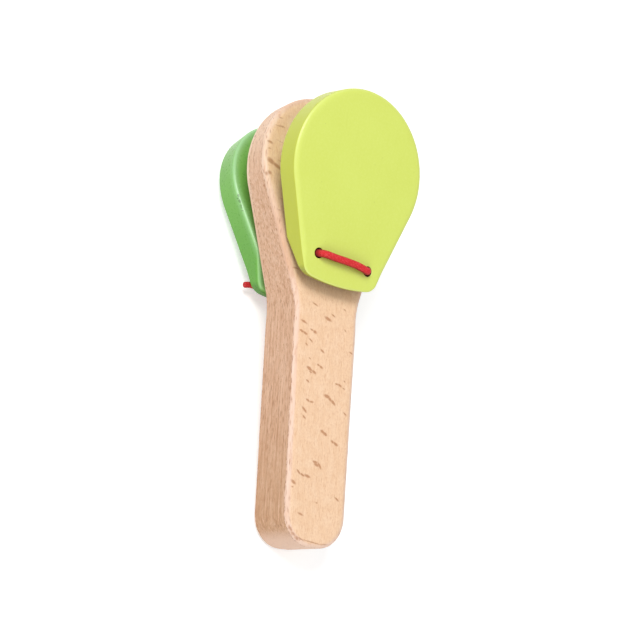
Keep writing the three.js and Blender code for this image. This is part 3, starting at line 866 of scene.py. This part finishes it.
    # Inside the cord holes the drilled wood is bare, and painted shade makes it dark
    flat = look.add("ShaderNodeVectorMath", {0: spot, 1: (1, 1, 0)}, operation="MULTIPLY")
    for x in (-HOLE_X, HOLE_X):
        off_axis = look.distance(flat, (x, hole_height(x, skew), 0))
        in_hole = look.ramp(off_axis, CLAP_HOLE / 2 + 0.18, CLAP_HOLE / 2 + 0.06)
        base = look.mix(in_hole, base, BARE_HOLE_SHADE)
    surface = look.math("ADD", look.times(peel, 0.6), look.times(grain, 0.5))
    surface = look.math("SUBTRACT", surface, look.times(marks, 1.5))
    look.set(
        Base_Color=base,
        Roughness=look.ramp(peel, 0.3, 0.7, roughness + 0.05, roughness - 0.05),
        Normal=look.bump(surface, 0.07, 0.0003),
        Specular_IOR_Level=0.5,
    )
    return look.material


# Colours of the cord's cover
CORD_DARK = (0.560, 0.012, 0.016, 1)
CORD_RED = (0.820, 0.026, 0.030, 1)
CORD_FUZZ = (0.940, 0.110, 0.130, 1)
CORD_PAINTED_SHADE = (0.220, 0.006, 0.008, 1)


def elastic(name, up, painted_shade):
    """The cord's cover, with painted shade where it turns away from the face it lies on."""
    look = Look(name)
    braid = look.add("ShaderNodeUVMap")
    strands = [
        look.add(
            "ShaderNodeTexWave",
            {"Vector": way, "Scale": 1.0},
            output="Fac",
            bands_direction="DIAGONAL",
        )
        for way in (braid, look.scaled(braid, (1, -1, 1)))
    ]
    weave = look.times(*strands)
    fuzz = look.noise(look.scaled(braid, (2.2, 0.7, 1)), 1.0, 3, 0.6)
    base = look.mix(look.ramp(weave, 0.0, 0.5), CORD_DARK, CORD_RED)
    base = look.mix(look.ramp(fuzz, 0.46, 0.70, 0, 0.60), base, CORD_FUZZ)
    base = look.mix(look.ramp(look.facing(up), 0.80, 0.15, 0, painted_shade), base, CORD_PAINTED_SHADE)
    look.set(
        Base_Color=base,
        Roughness=0.7,
        Normal=look.bump(weave, 0.4, 0.00015),
        Specular_IOR_Level=0.3,
        Sheen_Weight=0.05,
    )
    return look.material


# Handle
outline = with_crease(subdivided(handle_outline(), OUTLINE_STEP), TAPER_AT)
points, faces = eased_plate(
    outline,
    lambda y: -paddle_face(y),
    paddle_face,
    HANDLE_EASE,
    HANDLE_EASE,
    TAPER_AT,
    TAPER_AT,
    hand_sanding(outline, HANDLE_SANDING, seed=5),
)
handle = make_object("beech_handle", points, faces)
face_at_hole = float(paddle_face(HOLE_AT))
profile = rim_profile(NECK_HOLE / 2, -face_at_hole, face_at_hole, NECK_RIM, True)
cut(handle, [lathe("neck_hole", profile, x, HOLE_AT, HOLE_SIDES) for x in (-HOLE_X, HOLE_X)])
place(handle, TOY, beech(), "handle", "handle")


# Clappers
def clapper(name, matrix, skew, material, body, seed):
    outline = with_crease(subdivided(clapper_outline(), OUTLINE_STEP), BEVEL)
    near_heel = np.clip((CRISP_BELOW - outline[:, 1]) / CRISP_RUN, 0, 1)
    points, faces = eased_plate(
        outline,
        inner_face,
        lambda y: np.full_like(y, CLAP_THICK),
        INNER_EASE,
        OUTER_EASE,
        BEVEL,
        None,
        hand_sanding(outline, CLAPPER_SANDING, seed),
        1 - HEEL_CRISPNESS * near_heel,
    )
    obj = make_object(name, points, faces)
    low = float(inner_face(HOLE_FROM_HEEL + skew + CLAP_HOLE))
    profile = rim_profile(CLAP_HOLE / 2, low, CLAP_THICK, CLAPPER_RIM, False)
    cutters = [
        lathe("cord_hole", profile, x, hole_height(x, skew), HOLE_SIDES) for x in (-HOLE_X, HOLE_X)
    ]
    radius = HOLLOW_WIDTH / 2
    ball = (radius**2 + HOLLOW_DEPTH**2) / (2 * HOLLOW_DEPTH)
    bowl = [(0, -CUT_BEYOND), (radius, -CUT_BEYOND)]
    for angle in np.linspace(math.asin(radius / ball), 0, BOWL_STEPS)[:-1]:
        bowl.append((ball * math.sin(angle), HOLLOW_DEPTH - ball * (1 - math.cos(angle))))
    bowl.append((0, HOLLOW_DEPTH))
    cutters.append(lathe("hollow", bowl, 0, HEEL_TO_CENTRE, BOWL_SIDES))
    cut(obj, cutters)
    place(obj, matrix, material, body, body)


# Chips in the green rim: place, length, width, slope and depth
CHIPS = [
    (25.8, 32.2, 0.3, 1.0, 0.26, 70, 0.9), (25.3, 30.2, 0.3, 1.3, 0.30, 62, 1.0),
    (24.7, 28.3, 0.3, 1.6, 0.26, 72, 0.8), (25.9, 31.2, 0.5, 0.7, 0.30, 0, 0.7),
    (24.3, 26.9, 0.4, 0.8, 0.24, 10, 0.6),
]

lime = paint(
    "lime_paint",
    direction(FRONT, (0, 0, 1)),
    base_color=(0.662, 0.760, 0.132, 1),
    pale_and_highlight=(0.745, 0.825, 0.240, 1),
    deep_and_shade=(0.518, 0.562, 0.020, 1),
    seed=3.0,
    roughness=0.35,
    skew=FRONT_SKEW,
    rim=0.0,
    nicks=[],
)
green = paint(
    "green_paint",
    direction(REAR, (0, 0, 1)),
    base_color=(0.275, 0.610, 0.145, 1),
    pale_and_highlight=(0.415, 0.720, 0.385, 1),
    deep_and_shade=(0.165, 0.450, 0.068, 1),
    seed=41.0,
    roughness=0.31,
    skew=0.0,
    rim=0.38,
    nicks=CHIPS,
)
clapper("lime_clapper", FRONT, FRONT_SKEW, lime, "front_clapper", 11)
clapper("green_clapper", REAR, 0.0, green, "rear_clapper", 23)


# The cord's braided cover: facets, steps, strands, the length of a turn, and its bumps
SIDES = 28
CORD_STEP = 0.14
CURVE_STEPS = 24
STRANDS = 8
PITCH = 5.2
BRAID_SINK = 0.045
BRAID_RISE = 0.04

# Its cut ends: the length and curve of their rounds, and their width on the braid's map
CUT_ROUND = 0.3
CUT_CURVE = 1.6
CUT_MAP = 0.4

# A direction that no run of the cord starts along
ASKEW = (0.3, 0.5, 0.8)

# The solid's route: heights over a clapper, the knot in its radii, and the rest in millimetres
LOW = CLAP_THICK + CORD_GAP + KNOT_RADIUS
HIGH = LOW + 2 * KNOT_RADIUS + CORD_GAP / 2
MID = (LOW + HIGH) / 2
STITCH_LOW = CLAP_THICK + CORD_GAP + STITCH_RADIUS
BIGHT = [
    (-5.6, 1.25, -1), (-3.6, 1.2, -1), (-1.7, 1.7, -0.25), (0, 2.7, 1),
    (1.9, 3.75, 0.25), (3.3, 2.9, -1), (3.75, 1.2, -1), (3.75, -1.2, -1),
    (3.3, -2.9, -1), (1.9, -3.75, 0.25), (0, -2.7, 1), (-1.7, -1.7, -0.25),
    (-3.6, -1.2, -1), (-5.6, -1.25, -1),
]
LEFT_TAIL = [(-9.3, 4.3, 0.1), (-12.6, 4.8, 0.1), (-15, 4.9, 0.25), (-17.2, 4.5, 0.5)]
RIGHT_TAIL = [(9.2, 2.9, 0.5), (12.4, 2.6, 0.2), (15, 2.7, 0.1)]
FRONT_BEND = [(2.2, 0), (0.9, 0.5), (0.2, 1.5), (0, 3.5)]
REAR_BEND = [(3.1, 0), (1.1, 0.15), (0.15, 1.35), (0, 3.5)]
BEVEL_EXIT = 1.2
STITCH = [(-5, 0.1, 0.15), (0, 0.25, 0.25), (5, 0.25, 0.2)]


def knot_half(side):
    turn = 1 if side < 0 else -1
    lift = turn * (HIGH - MID)
    return [
        (-side * across * KNOT_RADIUS, KNOT_AT + along * KNOT_RADIUS, MID + layer * lift)
        for across, along, layer in BIGHT
    ]


def tail(points):
    return [(across, along, LOW + lift) for across, along, lift in points]


def through_clapper(x, skew, bend, low):
    y = hole_height(x, skew)
    run = [(x - math.copysign(step, x), y, low - drop) for step, drop in bend]
    return run + [(x, y, float(inner_face(y)) + BEVEL_EXIT)]


def across_front():
    return [
        (x, HOLE_FROM_HEEL - x / HOLE_X * FRONT_SKEW + aside, STITCH_LOW + lift)
        for x, aside, lift in STITCH
    ]


def on_front(run):
    return [FRONT @ Vector(p) for p in run]


def on_rear(run):
    return [REAR @ Vector((-p[0], p[1], p[2])) for p in run]


def in_handle(x):
    return [
        TOY @ Vector((x, HOLE_AT + side * REAR_SLIP / 4, side * face_at_hole))
        for side in (1, 0, -1)
    ]


route = (
    on_rear(tail(LEFT_TAIL)[::-1])
    + on_rear(knot_half(-1)[::-1])
    + on_rear(through_clapper(-HOLE_X, 0, REAR_BEND, LOW))
    + in_handle(-HOLE_X)[::-1]
    + on_front(through_clapper(-HOLE_X, FRONT_SKEW, FRONT_BEND, STITCH_LOW)[::-1])
    + on_front(across_front())
    + on_front(through_clapper(HOLE_X, FRONT_SKEW, FRONT_BEND, STITCH_LOW))
    + in_handle(HOLE_X)
    + on_rear(through_clapper(HOLE_X, 0, REAR_BEND, LOW)[::-1])
    + on_rear(knot_half(1))
    + on_rear(tail(RIGHT_TAIL))
)
route = np.array([tuple(p) for p in route])


def smooth_curve(knots, per_span):
    """A centripetal curve through the points, and the knot number at each of its samples."""
    padded = np.r_[[2 * knots[0] - knots[1]], knots, [2 * knots[-1] - knots[-2]]]
    samples, number = [], []
    for i in range(len(knots) - 1):
        p0, p1, p2, p3 = padded[i : i + 4]
        spans = ((p0, p1), (p1, p2), (p2, p3))
        d0, d1, d2 = [math.sqrt(np.linalg.norm(b - a)) for a, b in spans]
        m1 = ((p1 - p0) / d0 - (p2 - p0) / (d0 + d1) + (p2 - p1) / d1) * d1
        m2 = ((p2 - p1) / d1 - (p3 - p1) / (d1 + d2) + (p3 - p2) / d2) * d1
        for t in np.arange(per_span) / per_span:
            samples.append(
                p1
                + m1 * t
                + (-3 * p1 + 3 * p2 - 2 * m1 - m2) * t**2
                + (2 * p1 - 2 * p2 + m1 + m2) * t**3
            )
            number.append(i + t)
    samples.append(knots[-1])
    number.append(len(knots) - 1)
    return np.array(samples), np.array(number)


def even_steps(samples, step):
    length = np.r_[0, np.cumsum(np.linalg.norm(np.diff(samples, axis=0), axis=1))]
    count = round(length[-1] / step)
    wanted = np.linspace(0, length[-1], count + 1)
    return np.c_[[np.interp(wanted, length, samples[:, i]) for i in range(3)]].T, wanted


def cord_radius(path):
    """The cord is full across the front and thins on its way through the neck to the knot."""
    back = np.array(TOY.inverted())
    height = path @ back[2, :3] + back[2, 3]
    share = np.clip((height / face_at_hole + 1) / 2, 0, 1)
    share = share**2 * (3 - 2 * share)
    return KNOT_RADIUS + (STITCH_RADIUS - KNOT_RADIUS) * share


def braided_tube(name, runs, cut_ends):
    """Tubes along the runs, with the small bumps of a braided cover, and a map of the braid."""
    points, faces, uvs = [], [], []
    angle = np.linspace(0, 2 * math.pi, SIDES, endpoint=False)
    for run, (cut_start, cut_end) in zip(runs, cut_ends):
        path, along = even_steps(run, CORD_STEP)
        full = cord_radius(path)
        tangent = np.gradient(path, axis=0)
        tangent /= np.linalg.norm(tangent, axis=1)[:, None]
        normal = np.cross(tangent[0], ASKEW)
        normal /= np.linalg.norm(normal)
        first = len(points)
        for i, (p, t) in enumerate(zip(path, tangent)):
            normal = normal - t * np.dot(normal, t)
            normal /= np.linalg.norm(normal)
            side = np.cross(t, normal)
            twist = 2 * math.pi * along[i] / PITCH
            weave = np.cos(STRANDS / 2 * (angle + twist)) * np.cos(STRANDS / 2 * (angle - twist))
            inset = 0.0
            if cut_start:
                inset = max(inset, CUT_ROUND - along[i])
            if cut_end:
                inset = max(inset, CUT_ROUND - (along[-1] - along[i]))
            radius = full[i] - BRAID_SINK + BRAID_RISE * weave - inset**2 * CUT_CURVE
            spokes = np.cos(angle)[:, None] * normal + np.sin(angle)[:, None] * side
            points += list(p + radius[:, None] * spokes)
        rows = len(path)
        for i in range(rows - 1):
            for k in range(SIDES):
                n = (k + 1) % SIDES
                a = first + i * SIDES
                faces.append((a + k, a + n, a + SIDES + n, a + SIDES + k))
                u0, u1 = k / SIDES * STRANDS, (k + 1) / SIDES * STRANDS
                v0, v1 = along[i] / PITCH * STRANDS, along[i + 1] / PITCH * STRANDS
                uvs += [(u0, v0), (u1, v0), (u1, v1), (u0, v1)]
        for row, order in ((0, -1), (rows - 1, 1)):
            loop = [first + row * SIDES + k for k in range(SIDES)]
            faces.append(tuple(loop[::order]))
            uvs += [(CUT_MAP * math.cos(a), CUT_MAP * math.sin(a)) for a in angle[::order]]
    obj = make_object(name, np.array(points) * 0.001, faces)
    mesh = obj.data
    layer = mesh.uv_layers.new(name="braid")
    layer.data.foreach_set("uv", np.array(uvs, np.float32).ravel())
    mesh.polygons.foreach_set("use_smooth", [True] * len(mesh.polygons))
    mesh.set_sharp_from_angle(angle=CORD_CREASE)
    return obj


# The stitch and the knot meet in the middle of the neck
samples, number = smooth_curve(route, CURVE_STEPS)
knot_to_middle = len(BIGHT) + len(REAR_BEND) + 2
left_middle = len(LEFT_TAIL) + knot_to_middle
right_middle = len(route) - 1 - len(RIGHT_TAIL) - knot_to_middle
left_run = samples[number <= left_middle]
front_run = samples[(number >= left_middle) & (number <= right_middle)]
right_run = samples[number >= right_middle]

stitch = braided_tube("elastic_stitch", [front_run], [(False, False)])
knot = braided_tube("elastic_knot", [left_run, right_run], [(True, False), (False, True)])

for obj, body, matrix, side, painted_shade in (
    (stitch, "front_clapper", FRONT, 1, 0.80),
    (knot, "rear_clapper", REAR, -1, 0.25),
):
    obj.data.materials.append(elastic(obj.name, direction(matrix, (0, 0, 1)), painted_shade))
    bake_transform(obj)
    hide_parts("elastic_cord")


# Floor, in metres: it is seen as white far off, and keeps the toy's shadow near it
FLOOR_HALF = 6.0
FLOOR_DROP = 0.0002
FLOOR_PALE = (0.80, 0.80, 0.80, 1)
FLOOR_DARK = (0.785, 0.785, 0.785, 1)
NEAR, NEAR_GLOW = 0.5, 0.50
FAR, FAR_GLOW = 1.4, 1.0


def seen_directly(tree):
    """1 for camera, glossy and transmission rays, and 0 for the light that falls on the toy."""
    path = tree.nodes.new("ShaderNodeLightPath")
    seen = path.outputs["Is Camera Ray"]
    for ray in ("Is Glossy Ray", "Is Transmission Ray"):
        either = tree.nodes.new("ShaderNodeMath")
        either.operation = "MAXIMUM"
        tree.links.new(seen, either.inputs[0])
        tree.links.new(path.outputs[ray], either.inputs[1])
        seen = either.outputs[0]
    return seen


def floor_look():
    look = Look("floor")
    spot = look.add("ShaderNodeTexCoord", output="Object")
    away = look.add("ShaderNodeVectorMath", {0: spot}, output="Value", operation="LENGTH")
    cloud = look.noise(spot, 3.0, 3, 0.5)
    glow = look.ramp(away, NEAR, FAR, NEAR_GLOW, FAR_GLOW)
    look.set(
        Base_Color=look.mix(look.ramp(cloud, 0.3, 0.7), FLOOR_PALE, FLOOR_DARK),
        Roughness=0.9,
        Specular_IOR_Level=0.0,
        Emission_Color=(1, 1, 1, 1),
        Emission_Strength=look.times(seen_directly(look.tree), glow),
    )
    return look.material


signs = ((-1, -1), (1, -1), (1, 1), (-1, 1))
corners = [(x * FLOOR_HALF, y * FLOOR_HALF, -FLOOR_DROP) for x, y in signs]
floor = make_object("floor", corners, [(0, 1, 2, 3)])
floor.data.materials.append(floor_look())


# Lamps: name, place, width in metres and power in watts
LAMPS = (
    ("key", (-0.676, 0.390, 1.040), 0.6, 9.6),
    ("top", (0.15, -0.15, 1.2), 0.9, 2.0),
    ("fill", (-0.3, -1.2, 0.4), 0.8, 4.5),
)
LAMPS_AIM = Vector((0, 0, 0.02))
WORLD_LIGHT = 0.4
WORLD_SEEN = 1.0

for name, spot, size, power in LAMPS:
    lamp = bpy.data.lights.new(name, "AREA")
    lamp.shape = "DISK"
    lamp.size = size
    lamp.energy = power
    obj = bpy.data.objects.new(name, lamp)
    obj.location = spot
    obj.rotation_mode = "QUATERNION"
    obj.rotation_quaternion = (LAMPS_AIM - Vector(spot)).to_track_quat("-Z", "Y")
    scene.collection.objects.link(obj)

world = bpy.data.worlds.new("studio")
world.use_nodes = True
scene.world = world
tree = world.node_tree
background = tree.nodes["Background"]
background.inputs["Color"].default_value = (1, 1, 1, 1)
strength = tree.nodes.new("ShaderNodeMapRange")
strength.inputs["To Min"].default_value = WORLD_LIGHT
strength.inputs["To Max"].default_value = WORLD_SEEN
tree.links.new(seen_directly(tree), strength.inputs["Value"])
tree.links.new(strength.outputs["Result"], background.inputs["Strength"])
